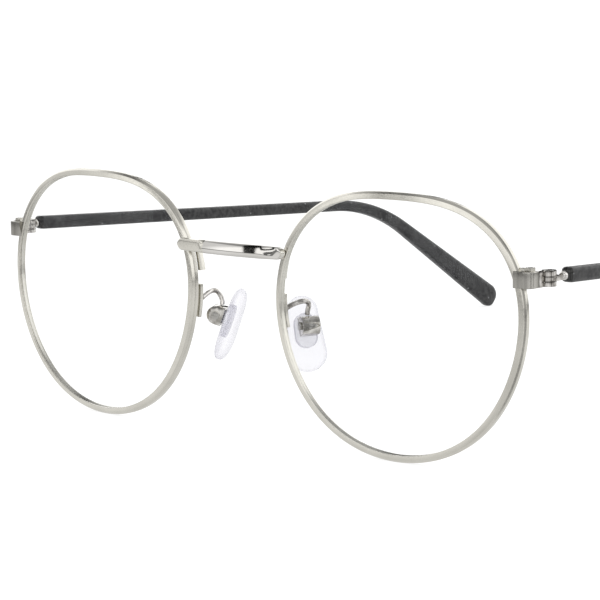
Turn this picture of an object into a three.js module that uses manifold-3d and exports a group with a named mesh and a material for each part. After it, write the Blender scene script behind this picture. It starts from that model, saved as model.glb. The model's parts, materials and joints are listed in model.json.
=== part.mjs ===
// Round wire eyeglasses with metal rims, rocking nose pads and folding temples.
// Millimetres, +Z up. +X is the wearer's left, -Y is the front and the open temples run towards +Y.
// The glasses stand on the bottoms of both rims and on the temple tips, at z = 0.
import * as THREE from 'three';
import { mergeVertices } from 'three/addons/utils/BufferGeometryUtils.js';
import Module from 'manifold-3d';

const wasm = await Module();
wasm.setup();

// Whole object
const FRONT_TO_ORIGIN = 78.73; // from the foremost point of the lenses back to the origin
const FIT = 0.05; // gap kept between neighbouring solids
const degrees = THREE.MathUtils.degToRad;

// Rims: one outline, seen from the front, sets the rims and the lenses
const RIM_CENTRE_X = 36.1;
const RIM_MEAN_RADIUS = 25.0;
const RIM_OVAL = 0.051; // wider than tall
const RIM_FULL_TOP = 0.032; // fuller upper corners, rounder bottom
const RIM_SQUARE = -0.0144; // slightly squared sides
const RIM_WIDTH = 1.3;
const RIM_DEPTH = 1.5;
const RIM_CHAMFER = 0.32;
const GROOVE_WIDTH = 0.9;
const GROOVE_DEPTH = 0.45;
const RIM_SIDES = 96;
const FACE_WRAP = degrees(4.25); // each rim turns back towards its temple
const LENS_CURVE = 100; // radius of the sphere that the rims and lenses follow
const LENS_THICKNESS = 1.1;
const LENS_RINGS = 5;
const SPLIT_HEIGHT = 33.6; // where each rim opens at its closing block
const SPLIT_GAP = 0.2;

// Bridge
const BRIDGE_HEIGHT = 34.65;
const BRIDGE_HALF_LENGTH = 12.6;
const BRIDGE_END_RADIUS = 1.1;
const BRIDGE_MIDDLE_HALF = 1.2;
const BRIDGE_WAIST = 6.5;
const BRIDGE_DEPTH = 1.25;
const BRIDGE_FRONT = 0.1;
const BRIDGE_BEVEL = 0.3;
const FOOT_BOTTOM = 29.65;
const FOOT_WRAP_BOTTOM = 33.7;
const FOOT_TOP = 35.0;
const FOOT_FRONT = 3.1; // just behind the nose side of the rims
const FOOT_BACK = 4.4;
const FOOT_WIDTH = 0.8;

// End pieces and closing blocks
const STRAP_THICKNESS = 0.7;
const STRAP_BOTTOM = 32.15;
const STRAP_TOP = 34.95;
const STRAP_FRONT = 4.5;
const STRAP_INNER_X = 60.6;
const STRAP_OUTER_X = 63.2;
const STRAP_BACK = 7.0;
const STRAP_BEND = 1.5;
const CLOSING_X = 61.75;
const CLOSING_Y = 6.55;
const CLOSING_WIDTH = 1.3;
const CLOSING_LENGTH = 1.3;
const CLOSING_TOP = 35.5;
const CLOSING_SCREW_RADIUS = 0.35;
const CLOSING_HEAD_RADIUS = 0.5;
const HEAD_DEPTH = 0.4; // the screw heads lie in recesses

// Temple hinges: the axis is upright, three knuckles share the height of the hinge
const HINGE_X = 63.0;
const HINGE_Y = 10.0;
const HINGE_BOTTOM = 32.15;
const HINGE_TOP = 34.8;
const KNUCKLE_RADIUS = 1.35;
const KNUCKLE_GAP = 0.06;
const HINGE_SCREW_RADIUS = 0.45;
const HINGE_HEAD_RADIUS = 0.8;
const HINGE_BASE_FRONT = 7.25;

// Temples, in their own frame: Y along the temple from the hinge axis, Z up from the floor
const TEMPLE_OFFSET = 1.25; // centre plane of the temple, outwards of the hinge axis
const TEMPLE_CONVERGE = degrees(2.35);
const TEMPLE_THICKNESS = 2.2;
const SLEEVE_START = 3.2;
const SLEEVE_TOP = {
  height: 35.2, slope: degrees(3.05), dropSlope: degrees(30.3), bendAt: 103.0, radius: 50.6,
};
const SLEEVE_BOTTOM = {
  height: 32.55, slope: degrees(2.9), dropSlope: degrees(33.7), bendAt: 102.5, radius: 45.4,
};
const SLEEVE_END = 148.1;
const SLEEVE_BEVEL = 0.55;
const SLEEVE_NOSE = 0.7; // chamfer at the mouth of the sleeve
const REST_FACE_START = 143.5;
const REST_FACE_END = 145.6;
const CORE_RADIUS = 0.5;
const CORE_HEIGHT = 33.85;
const CORE_END = 88;

// Nose pads: the frame of a pad lies on its rocking axis, X outwards, Y along the axis, Z up the pad
const PAD_AXIS = new THREE.Vector3(11.25, 9.05, 20.7);
const PAD_SPLAY = degrees(-30);
const PAD_LEAN = degrees(-19.5);
const PAD_CENTRE_X = -2.9;
const PAD_CENTRE_Z = -0.95;
const PAD_THICKNESS = 2.3;
const PAD_TOP_RADIUS = 2.9;
const PAD_BOTTOM_RADIUS = 3.75;
const PAD_LENGTH = 14.0;
const PAD_BEVEL = 0.7;
const CORE_PLATE_WIDTH = 4.0;
const CORE_PLATE_LENGTH = 6.2;
const CORE_PLATE_THICKNESS = 1.1;
const CORE_PLATE_CENTRE_Z = -0.5;
const BOX_RADIUS = 1.7;
const BOX_LENGTH = 3.2;
const BOX_WALL = 0.4;
const BOX_MOUTH = 1.3;
const PAD_SCREW_RADIUS = 0.45;
const STUB_RADIUS = 1.0;
const STUB_THICKNESS = 2.2;
const ARM_RADIUS = 0.42;
const ARM_PLATE_TOP = 27.1;
const ARM_PLATE_BOTTOM = 20.9;
const ARM_PLATE_THICKNESS = 0.8;

const metal = (color, roughness) => new THREE.MeshStandardMaterial({ color, roughness, metalness: 1 });
const MATERIALS = {
  satin: metal(0xc4c0b6, 0.35),
  polished: metal(0xd2cfc8, 0.12),
  screw: metal(0xb4b0a6, 0.3),
  sleeve: new THREE.MeshStandardMaterial({ color: 0x2b2d2e, roughness: 0.5, metalness: 0 }),
  lens: new THREE.MeshStandardMaterial({ color: 0xf4f6f8, roughness: 0.03, metalness: 0 }),
  silicone: new THREE.MeshStandardMaterial({ color: 0xeeedf3, roughness: 0.15, metalness: 0 }),
  frosted: new THREE.MeshStandardMaterial({ color: 0xe2e2e8, roughness: 0.6, metalness: 0 }),
};

// Solids -------------------------------------------------------------------------------------

function toSolid(geometry) {
  const bare = geometry.clone();
  bare.deleteAttribute('normal');
  bare.deleteAttribute('uv');
  const merged = mergeVertices(bare, 1e-4);
  return new wasm.Manifold(new wasm.Mesh({
    numProp: 3,
    vertProperties: new Float32Array(merged.attributes.position.array),
    triVerts: new Uint32Array(merged.index.array),
  }));
}

function toGeometry(solid) {
  const mesh = solid.getMesh();
  const geometry = new THREE.BufferGeometry();
  geometry.setAttribute('position', new THREE.BufferAttribute(mesh.vertProperties, 3));
  geometry.setIndex(new THREE.BufferAttribute(mesh.triVerts, 1));
  return geometry;
}

function cut(base, ...tools) {
  return toGeometry(tools.reduce((solid, tool) => solid.subtract(toSolid(tool)), toSolid(base)));
}

function join(base, ...others) {
  return toGeometry(others.reduce((solid, other) => solid.add(toSolid(other)), toSolid(base)));
}

function mirrored(geometry) {
  const copy = geometry.clone();
  copy.scale(-1, 1, 1);
  const { count } = copy.attributes.position;
  const order = copy.index ? copy.index.array : Uint32Array.from({ length: count }, (_, i) => i);
  const flipped = new Uint32Array(order.length);
  for (let i = 0; i < order.length; i += 3) {
    flipped.set([order[i], order[i + 2], order[i + 1]], i);
  }
  copy.setIndex(new THREE.BufferAttribute(flipped, 1));
  return copy;
}

function block(x0, x1, y0, y1, z0, z1) {
  const box = new THREE.BoxGeometry(x1 - x0, y1 - y0, z1 - z0);
  return box.translate((x0 + x1) / 2, (y0 + y1) / 2, (z0 + z1) / 2);
}

// Upright round post from z0 to z1 around (x, y)
function post(radius, x, y, z0, z1, sides = 20) {
  const cylinder = new THREE.CylinderGeometry(radius, radius, z1 - z0, sides);
  return cylinder.rotateX(Math.PI / 2).translate(x, y, (z0 + z1) / 2);
}

// Round bar along Y from y0 to y1 around the origin of X and Z
function axle(radius, y0, y1, sides = 16) {
  return new THREE.CylinderGeometry(radius, radius, y1 - y0, sides).translate(0, (y0 + y1) / 2, 0);
}

// Shape drawn in X and Z, given a thickness along Y from y0 to y1, its edges rounded by bevel
function slabXZ(shape, y0, y1, bevel = 0, bevelSegments = 2) {
  const extrusion = new THREE.ExtrudeGeometry(shape, {
    depth: y1 - y0 - 2 * bevel,
    bevelEnabled: bevel > 0,
    bevelThickness: bevel,
    bevelSize: bevel,
    bevelOffset: -bevel,
    bevelSegments,
    curveSegments: 8,
  });
  return extrusion.rotateX(Math.PI / 2).translate(0, y1 - bevel, 0);
}

// Shape drawn in Y and Z, given a thickness along X from x0 to x1
function slabYZ(shape, x0, x1, bevel = 0, bevelSegments = 2) {
  return slabXZ(shape, 0, x1 - x0, bevel, bevelSegments).rotateZ(Math.PI / 2).translate(x1, 0, 0);
}

function roundWire(points, radius, steps, sides = 8) {
  const section = new THREE.Shape();
  for (let i = 0; i < sides; i += 1) {
    const angle = (2 * Math.PI * i) / sides;
    const place = [radius * Math.cos(angle), radius * Math.sin(angle)];
    if (i === 0) section.moveTo(...place);
    else section.lineTo(...place);
  }
  const path = new THREE.CatmullRomCurve3(points, false, 'centripetal');
  return new THREE.ExtrudeGeometry(section, { steps, extrudePath: path });
}

// Rims and lenses ----------------------------------------------------------------------------

// Outline of a rim from the front: u towards the temple, v up, moved inwards by inset
function outline(angle, inset = 0) {
  const radius = RIM_MEAN_RADIUS * (1 + RIM_OVAL * Math.cos(2 * angle)
    + RIM_FULL_TOP * Math.sin(3 * angle) + RIM_SQUARE * Math.cos(4 * angle));
  const growth = RIM_MEAN_RADIUS * (-2 * RIM_OVAL * Math.sin(2 * angle)
    + 3 * RIM_FULL_TOP * Math.cos(3 * angle) - 4 * RIM_SQUARE * Math.sin(4 * angle));
  const along = new THREE.Vector2(growth, radius).rotateAround(new THREE.Vector2(), angle).normalize();
  const point = new THREE.Vector2(radius, 0).rotateAround(new THREE.Vector2(), angle);
  return point.add(new THREE.Vector2(-along.y, along.x).multiplyScalar(inset));
}

const RIM_CENTRE_Z = -outline(-Math.PI / 2).y;

// Moves each vertex of a body turned around Y onto the outline, and bends it to the lens curve
function followOutline(geometry, pointAt) {
  const positions = geometry.attributes.position;
  for (let i = 0; i < positions.count; i += 1) {
    const radius = Math.hypot(positions.getX(i), positions.getZ(i));
    const angle = Math.atan2(positions.getZ(i), positions.getX(i));
    const point = pointAt(angle, radius);
    positions.setXYZ(i, point.x, positions.getY(i) + point.lengthSq() / (2 * LENS_CURVE), point.y);
  }
  return geometry;
}

// Ring with a chamfered section and a V groove for the lens; radii count down from the outline
function rimGeometry() {
  const outer = RIM_MEAN_RADIUS;
  const inner = RIM_MEAN_RADIUS - RIM_WIDTH;
  const middle = RIM_DEPTH / 2;
  const section = [
    [outer, RIM_CHAMFER],
    [outer, RIM_DEPTH - RIM_CHAMFER],
    [outer - RIM_CHAMFER, RIM_DEPTH],
    [inner + RIM_CHAMFER / 2, RIM_DEPTH],
    [inner, middle + GROOVE_WIDTH / 2],
    [inner + GROOVE_DEPTH, middle],
    [inner, middle - GROOVE_WIDTH / 2],
    [inner + RIM_CHAMFER / 2, 0],
    [outer - RIM_CHAMFER, 0],
    [outer, RIM_CHAMFER],
  ].map(([radius, depth]) => new THREE.Vector2(radius, depth));
  const ring = new THREE.LatheGeometry(section, RIM_SIDES);
  followOutline(ring, (angle, radius) => outline(angle, RIM_MEAN_RADIUS - radius));
  const height = SPLIT_HEIGHT - RIM_CENTRE_Z;
  return cut(ring, block(22, 28, 0, 9, height - SPLIT_GAP / 2, height + SPLIT_GAP / 2));
}

// Meniscus lens with a V edge that sits in the groove; its profile is drawn as fractions of the outline
function lensGeometry() {
  const shoulder = RIM_WIDTH + FIT;
  const tip = 1 + (GROOVE_DEPTH - 2 * FIT) / (RIM_MEAN_RADIUS - shoulder);
  const middle = RIM_DEPTH / 2;
  const half = LENS_THICKNESS / 2;
  const edge = GROOVE_WIDTH / 2 - 2 * FIT;
  const rings = Array.from({ length: LENS_RINGS }, (_, i) => i / LENS_RINGS);
  const profile = [
    ...rings.map((fraction) => new THREE.Vector2(fraction, middle - half)),
    new THREE.Vector2(0.985, middle - half),
    new THREE.Vector2(1, middle - edge),
    new THREE.Vector2(tip, middle),
    new THREE.Vector2(1, middle + edge),
    new THREE.Vector2(0.985, middle + half),
    ...rings.reverse().map((fraction) => new THREE.Vector2(fraction, middle + half)),
  ];
  const disc = new THREE.LatheGeometry(profile, RIM_SIDES / 2);
  return followOutline(disc, (angle, fraction) => outline(angle, shoulder).multiplyScalar(fraction));
}

// Point of the rim's back edge as placed on the glasses, for pieces soldered along the rim
function rimEdge(angle, inset) {
  const flat = outline(angle, inset);
  const back = RIM_DEPTH + flat.lengthSq() / (2 * LENS_CURVE);
  const x = flat.x * Math.cos(FACE_WRAP) - back * Math.sin(FACE_WRAP);
  return new THREE.Vector2(RIM_CENTRE_X + x, RIM_CENTRE_Z + flat.y);
}

// Strip that follows the nose side of the rim between two heights, from inset to inset
function noseSideStrip(bottom, top, insideInset, outsideInset, steps = 6) {
  const angleAt = (height) => {
    let angle = Math.PI;
    for (let i = 0; i < 8; i += 1) {
      angle = Math.PI - Math.asin((height - RIM_CENTRE_Z) / outline(angle).length());
    }
    return angle;
  };
  const strip = new THREE.Shape();
  const inner = [];
  for (let i = 0; i <= steps; i += 1) {
    const angle = THREE.MathUtils.lerp(angleAt(bottom), angleAt(top), i / steps);
    const point = rimEdge(angle, outsideInset);
    if (i === 0) strip.moveTo(point.x, point.y);
    else strip.lineTo(point.x, point.y);
    inner.unshift(rimEdge(angle, insideInset));
  }
  inner.forEach((point) => strip.lineTo(point.x, point.y));
  return strip;
}

// Bridge: a bar in front of the rims, with feet that wrap round their nose sides and run down behind

function bridgeGeometry() {
  const arm = BRIDGE_HALF_LENGTH - BRIDGE_END_RADIUS;
  const bar = new THREE.Shape();
  bar.moveTo(-arm, -BRIDGE_END_RADIUS);
  bar.lineTo(-BRIDGE_WAIST, -BRIDGE_MIDDLE_HALF);
  bar.lineTo(BRIDGE_WAIST, -BRIDGE_MIDDLE_HALF);
  bar.lineTo(arm, -BRIDGE_END_RADIUS);
  bar.absarc(arm, 0, BRIDGE_END_RADIUS, -Math.PI / 2, Math.PI / 2);
  bar.lineTo(BRIDGE_WAIST, BRIDGE_MIDDLE_HALF);
  bar.lineTo(-BRIDGE_WAIST, BRIDGE_MIDDLE_HALF);
  bar.lineTo(-arm, BRIDGE_END_RADIUS);
  bar.absarc(-arm, 0, BRIDGE_END_RADIUS, Math.PI / 2, (3 * Math.PI) / 2);
  const back = BRIDGE_FRONT + BRIDGE_DEPTH;
  const solid = slabXZ(bar, BRIDGE_FRONT, back, BRIDGE_BEVEL).translate(0, 0, BRIDGE_HEIGHT);
  const wrap = noseSideStrip(FOOT_WRAP_BOTTOM, FOOT_TOP, -FIT, -FIT - FOOT_WIDTH);
  const strip = noseSideStrip(FOOT_BOTTOM, FOOT_TOP, 0.2, -FIT - 0.3);
  const foot = join(slabXZ(wrap, back - 2 * BRIDGE_BEVEL, FOOT_BACK), slabXZ(strip, FOOT_FRONT, FOOT_BACK));
  return join(solid, foot, mirrored(foot));
}

// End pieces, closing blocks and screws ------------------------------------------------------

// Flat strap bent round the corner: across the front of the rim, then back to the hinge
function endPieceGeometry() {
  const plan = new THREE.Shape();
  plan.moveTo(STRAP_INNER_X, STRAP_FRONT);
  plan.lineTo(STRAP_OUTER_X - STRAP_BEND, STRAP_FRONT);
  plan.absarc(STRAP_OUTER_X - STRAP_BEND, STRAP_FRONT + STRAP_BEND, STRAP_BEND, -Math.PI / 2, 0);
  plan.lineTo(STRAP_OUTER_X, STRAP_BACK);
  plan.lineTo(STRAP_OUTER_X - STRAP_THICKNESS, STRAP_BACK);
  const bend = STRAP_BEND - STRAP_THICKNESS;
  plan.lineTo(STRAP_OUTER_X - STRAP_THICKNESS, STRAP_FRONT + STRAP_BEND);
  plan.absarc(STRAP_OUTER_X - STRAP_BEND, STRAP_FRONT + STRAP_BEND, bend, 0, -Math.PI / 2, true);
  plan.lineTo(STRAP_INNER_X, STRAP_FRONT + STRAP_THICKNESS);
  const strap = new THREE.ExtrudeGeometry(plan, {
    depth: STRAP_TOP - STRAP_BOTTOM, bevelEnabled: false, curveSegments: 6,
  });
  return strap.translate(0, 0, STRAP_BOTTOM);
}

// Half of the closing block, drawn around its screw, between two heights
function closingBlockGeometry(bottom, top) {
  const [x, y] = [CLOSING_WIDTH / 2, CLOSING_LENGTH / 2];
  const half = block(-x, x, -y, y, bottom, top);
  const thread = post(CLOSING_SCREW_RADIUS + FIT, 0, 0, bottom - 1, top + 1);
  return cut(half, thread, post(CLOSING_HEAD_RADIUS + FIT, 0, 0, CLOSING_TOP - HEAD_DEPTH, CLOSING_TOP + 1));
}

// Cheese-head screw standing on its thread, slot across the head
function screwGeometry(radius, headRadius, bottom, top) {
  const headHeight = HEAD_DEPTH - FIT;
  const seat = top - headHeight;
  const profile = [
    [0, bottom], [radius, bottom], [radius, seat], [headRadius, seat], [headRadius, top], [0, top],
  ];
  const body = new THREE.LatheGeometry(profile.map(([r, h]) => new THREE.Vector2(r, h)), 20);
  const slotHalf = headRadius / 6;
  const slot = block(-headRadius - 1, headRadius + 1, -slotHalf, slotHalf, top - headHeight / 2, top + 1);
  return cut(body.rotateX(Math.PI / 2), slot);
}

// Temple hinge -------------------------------------------------------------------------------

const KNUCKLE_HEIGHT = (HINGE_TOP - HINGE_BOTTOM - 2 * KNUCKLE_GAP) / 3;
const MIDDLE_BOTTOM = HINGE_BOTTOM + KNUCKLE_HEIGHT + KNUCKLE_GAP;
const MIDDLE_TOP = MIDDLE_BOTTOM + KNUCKLE_HEIGHT;

// Two knuckles on one base plate, around the hinge axis
function frontHingeGeometry() {
  const front = HINGE_BASE_FRONT - HINGE_Y;
  const outer = STRAP_OUTER_X - HINGE_X - FIT;
  const base = block(-0.9, outer, front, front + 0.85, HINGE_BOTTOM, HINGE_TOP);
  const knuckles = [[HINGE_BOTTOM, MIDDLE_BOTTOM - KNUCKLE_GAP], [MIDDLE_TOP + KNUCKLE_GAP, HINGE_TOP]];
  const parts = knuckles.flatMap(([bottom, top]) => [
    post(KNUCKLE_RADIUS, 0, 0, bottom, top, 40),
    block(-0.9, outer, front, -0.2, bottom, top),
  ]);
  const thread = post(HINGE_SCREW_RADIUS + FIT, 0, 0, HINGE_BOTTOM - 1, HINGE_TOP + 1);
  const recess = post(HINGE_HEAD_RADIUS + FIT, 0, 0, HINGE_TOP - HEAD_DEPTH, HINGE_TOP + 1);
  return cut(join(base, ...parts), thread, recess);
}

// Middle knuckle and the shank that carries the core of the temple
function templeHingeGeometry() {
  const knuckle = post(KNUCKLE_RADIUS, 0, 0, MIDDLE_BOTTOM, MIDDLE_TOP, 40);
  const shank = block(0, TEMPLE_OFFSET + 0.35, 0, 1.9, MIDDLE_BOTTOM, MIDDLE_TOP);
  return cut(join(knuckle, shank), post(HINGE_SCREW_RADIUS + FIT, 0, 0, MIDDLE_BOTTOM - 1, MIDDLE_TOP + 1));
}

// Temples, drawn in Y and Z around the hinge axis --------------------------------------------

// Adds a straight run, a bend and a drop to a path; edge gives its heights, slopes and bend
function bentEdge(edge) {
  const corner = new THREE.Vector2(edge.bendAt, edge.height - edge.bendAt * Math.tan(edge.slope));
  const cutBack = edge.radius * Math.tan((edge.dropSlope - edge.slope) / 2);
  const start = new THREE.Vector2(
    corner.x - cutBack * Math.cos(edge.slope),
    corner.y + cutBack * Math.sin(edge.slope),
  );
  const centre = new THREE.Vector2(
    start.x - edge.radius * Math.sin(edge.slope),
    start.y - edge.radius * Math.cos(edge.slope),
  );
  return { corner, centre, from: Math.PI / 2 - edge.slope, to: Math.PI / 2 - edge.dropSlope };
}

const heightOf = (edge, y) => edge.height - y * Math.tan(edge.slope);
const dropHeightOf = (edge, y) => {
  const { corner } = bentEdge(edge);
  return corner.y - (y - corner.x) * Math.tan(edge.dropSlope);
};

// Side view of the plastic sleeve: straight, bent down behind the ear, widening to a round tip
function sleeveShape() {
  const top = bentEdge(SLEEVE_TOP);
  const bottom = bentEdge(SLEEVE_BOTTOM);
  const shape = new THREE.Shape();
  shape.moveTo(SLEEVE_START, heightOf(SLEEVE_BOTTOM, SLEEVE_START) + SLEEVE_NOSE);
  shape.lineTo(SLEEVE_START + SLEEVE_NOSE, heightOf(SLEEVE_BOTTOM, SLEEVE_START + SLEEVE_NOSE));
  shape.absarc(bottom.centre.x, bottom.centre.y, SLEEVE_BOTTOM.radius, bottom.from, bottom.to, true);
  shape.lineTo(REST_FACE_START, 0);
  shape.lineTo(REST_FACE_END, 0);
  const tipTop = SLEEVE_END - 1.9;
  shape.bezierCurveTo(SLEEVE_END - 0.4, 0.1, SLEEVE_END + 0.5, 2.6, tipTop, dropHeightOf(SLEEVE_TOP, tipTop));
  shape.absarc(top.centre.x, top.centre.y, SLEEVE_TOP.radius, top.to, top.from, false);
  shape.lineTo(SLEEVE_START + SLEEVE_NOSE, heightOf(SLEEVE_TOP, SLEEVE_START + SLEEVE_NOSE));
  shape.lineTo(SLEEVE_START, heightOf(SLEEVE_TOP, SLEEVE_START) - SLEEVE_NOSE);
  return shape;
}

// Straight spring wire inside the sleeve, from the shank of the hinge to before the bend
function corePoints(start, end) {
  const drop = (y) => CORE_HEIGHT - y * Math.tan(SLEEVE_TOP.slope);
  return [start, (start + end) / 2, end].map((y) => new THREE.Vector3(0, y, drop(y)));
}

function sleeveGeometry() {
  const half = TEMPLE_THICKNESS / 2;
  const body = slabYZ(sleeveShape(), -half, half, SLEEVE_BEVEL);
  return cut(body, roundWire(corePoints(SLEEVE_START - 1, CORE_END + 0.2), CORE_RADIUS + FIT, 2));
}

function coreGeometry() {
  return roundWire(corePoints(1.95, CORE_END), CORE_RADIUS, 2);
}

// Ring at the mouth of the sleeve, turned with the wire
function ferruleGeometry() {
  const outer = CORE_RADIUS + 0.3;
  const inner = CORE_RADIUS + FIT;
  const profile = [[inner, 0], [outer, 0.12], [outer, 0.42], [inner, 0.54], [inner, 0]];
  const ring = new THREE.LatheGeometry(profile.map(([r, h]) => new THREE.Vector2(r, h)), 20);
  const start = SLEEVE_START - 0.6;
  const height = CORE_HEIGHT - start * Math.tan(SLEEVE_TOP.slope);
  return ring.rotateX(-SLEEVE_TOP.slope).translate(0, start, height);
}

// Nose pads ----------------------------------------------------------------------------------

// D outline in X and Z: round on the outside, straight to the mouth that faces the pad
function boxOutline(radius, mouth) {
  const shape = new THREE.Shape();
  shape.moveTo(-mouth, -radius);
  shape.lineTo(0, -radius);
  shape.absarc(0, 0, radius, -Math.PI / 2, Math.PI / 2);
  shape.lineTo(-mouth, radius);
  return shape;
}

function padBoxGeometry() {
  const half = BOX_LENGTH / 2;
  const inside = half - BOX_WALL;
  const housing = slabXZ(boxOutline(BOX_RADIUS, BOX_MOUTH), -half, half);
  const hollow = slabXZ(boxOutline(BOX_RADIUS - BOX_WALL, BOX_MOUTH + 1), -inside, inside);
  return cut(housing, hollow, axle(PAD_SCREW_RADIUS + FIT, -half - 1, half + 1));
}

function padScrewGeometry() {
  const half = BOX_LENGTH / 2;
  const screw = screwGeometry(PAD_SCREW_RADIUS, 0.75, -half, half + HEAD_DEPTH);
  return screw.rotateX(Math.PI / 2);
}

// Pear outline in Y and Z: small radius on top, large below
function padShape(length, topRadius, bottomRadius) {
  const top = length / 2 - topRadius;
  const bottom = -length / 2 + bottomRadius;
  const flank = Math.asin((bottomRadius - topRadius) / (top - bottom));
  const shape = new THREE.Shape();
  shape.absarc(0, top, topRadius, -flank, Math.PI + flank, false);
  shape.absarc(0, bottom, bottomRadius, Math.PI + flank, 2 * Math.PI - flank, false);
  return shape;
}

function corePlateShape(grow) {
  const width = CORE_PLATE_WIDTH + 2 * grow;
  return padShape(CORE_PLATE_LENGTH + 2 * grow, width / 2 - 0.01, width / 2);
}

const PAD_BACK = PAD_CENTRE_X + PAD_THICKNESS / 2;

function nosePadGeometry() {
  const shape = padShape(PAD_LENGTH, PAD_TOP_RADIUS, PAD_BOTTOM_RADIUS);
  const front = PAD_CENTRE_X - PAD_THICKNESS / 2;
  const body = slabYZ(shape, front, PAD_BACK, PAD_BEVEL, 3).translate(0, 0, PAD_CENTRE_Z);
  const floor = PAD_BACK - CORE_PLATE_THICKNESS - FIT;
  const pocket = slabYZ(corePlateShape(FIT), floor, PAD_BACK + 1).translate(0, 0, CORE_PLATE_CENTRE_Z);
  return cut(body, pocket);
}

// Hard plate moulded into the back of the pad, with the eye that turns on the screw
function padCoreGeometry() {
  const plate = slabYZ(corePlateShape(0), PAD_BACK - CORE_PLATE_THICKNESS, PAD_BACK);
  const half = STUB_THICKNESS / 2;
  const stub = slabXZ(boxOutline(STUB_RADIUS, -PAD_BACK + 0.3), -half, half);
  const eye = axle(PAD_SCREW_RADIUS + FIT, -half - 1, half + 1);
  return cut(join(plate.translate(0, 0, CORE_PLATE_CENTRE_Z), stub), eye);
}

// Gooseneck wire from the plate behind the rim, up and over to the top of the pad box
function padArmGeometry() {
  const points = [
    [10.35, 4.05, 24.4],
    [10.5, 5.1, 24.8],
    [10.8, 6.5, 25.15],
    [11.05, 7.9, 25.25],
    [11.1, 8.9, 24.95],
    [10.85, 9.45, 24.2],
    [10.5, 9.55, 23.3],
    [10.4, 9.5, 22.5],
  ];
  return roundWire(points.map((point) => new THREE.Vector3(...point)), ARM_RADIUS, 22);
}

// Curved plate soldered to the back of the rim, which carries the pad arm
function armPlateGeometry() {
  const back = 3.0;
  const strip = noseSideStrip(ARM_PLATE_BOTTOM, ARM_PLATE_TOP, 1.0, -0.1);
  return slabXZ(strip, back + 2 * FIT, back + ARM_PLATE_THICKNESS);
}

// Assembly -----------------------------------------------------------------------------------

const glasses = new THREE.Group();
glasses.position.y = -FRONT_TO_ORIGIN;

function addMesh(name, geometry, material, position, rotation) {
  const mesh = new THREE.Mesh(geometry, material);
  mesh.name = name;
  mesh.position.copy(position);
  mesh.rotation.copy(rotation);
  glasses.add(mesh);
}

// One piece for the wearer's left, and its mirror image for the right; turn is [y, z] in radians
function addPair(name, geometry, material, position = new THREE.Vector3(), turn = [0, 0]) {
  const [lean, swing] = turn;
  addMesh(`${name}_left`, geometry, material, position, new THREE.Euler(0, lean, swing, 'ZYX'));
  const opposite = new THREE.Vector3(-position.x, position.y, position.z);
  addMesh(`${name}_right`, mirrored(geometry), material, opposite, new THREE.Euler(0, -lean, -swing, 'ZYX'));
}

const rimPlace = new THREE.Vector3(RIM_CENTRE_X, 0, RIM_CENTRE_Z);
addPair('rim', rimGeometry(), MATERIALS.satin, rimPlace, [0, FACE_WRAP]);
addPair('lens', lensGeometry(), MATERIALS.lens, rimPlace, [0, FACE_WRAP]);
addMesh('bridge', bridgeGeometry(), MATERIALS.polished, new THREE.Vector3(), new THREE.Euler());

addPair('end_piece', endPieceGeometry(), MATERIALS.satin);
const closingPlace = new THREE.Vector3(CLOSING_X, CLOSING_Y, 0);
const upperBlock = closingBlockGeometry(SPLIT_HEIGHT + SPLIT_GAP / 2, CLOSING_TOP);
const lowerBlock = closingBlockGeometry(STRAP_BOTTOM, SPLIT_HEIGHT - SPLIT_GAP / 2);
addPair('closing_block_upper', upperBlock, MATERIALS.satin, closingPlace);
addPair('closing_block_lower', lowerBlock, MATERIALS.satin, closingPlace);
const closingScrew = screwGeometry(CLOSING_SCREW_RADIUS, CLOSING_HEAD_RADIUS, STRAP_BOTTOM, CLOSING_TOP);
addPair('closing_screw', closingScrew, MATERIALS.screw, closingPlace);

const hingePlace = new THREE.Vector3(HINGE_X, HINGE_Y, 0);
addPair('front_hinge', frontHingeGeometry(), MATERIALS.polished, hingePlace);
const hingeScrew = screwGeometry(HINGE_SCREW_RADIUS, HINGE_HEAD_RADIUS, HINGE_BOTTOM, HINGE_TOP);
addPair('hinge_screw', hingeScrew, MATERIALS.screw, hingePlace);
addPair('temple_hinge', templeHingeGeometry(), MATERIALS.polished, hingePlace);

const templePlace = new THREE.Vector3(HINGE_X + TEMPLE_OFFSET, HINGE_Y, 0);
const templeTurn = [0, TEMPLE_CONVERGE];
addPair('temple_core', coreGeometry(), MATERIALS.polished, templePlace, templeTurn);
addPair('temple_ferrule', ferruleGeometry(), MATERIALS.polished, templePlace, templeTurn);
addPair('temple_sleeve', sleeveGeometry(), MATERIALS.sleeve, templePlace, templeTurn);

const padTurn = [PAD_LEAN, PAD_SPLAY];
addPair('pad_arm_plate', armPlateGeometry(), MATERIALS.satin);
addPair('pad_arm', padArmGeometry(), MATERIALS.polished);
addPair('pad_box', padBoxGeometry(), MATERIALS.polished, PAD_AXIS, padTurn);
addPair('pad_screw', padScrewGeometry(), MATERIALS.screw, PAD_AXIS, padTurn);
addPair('pad_core', padCoreGeometry(), MATERIALS.frosted, PAD_AXIS, padTurn);
addPair('nose_pad', nosePadGeometry(), MATERIALS.silicone, PAD_AXIS, padTurn);

export default glasses;
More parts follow.
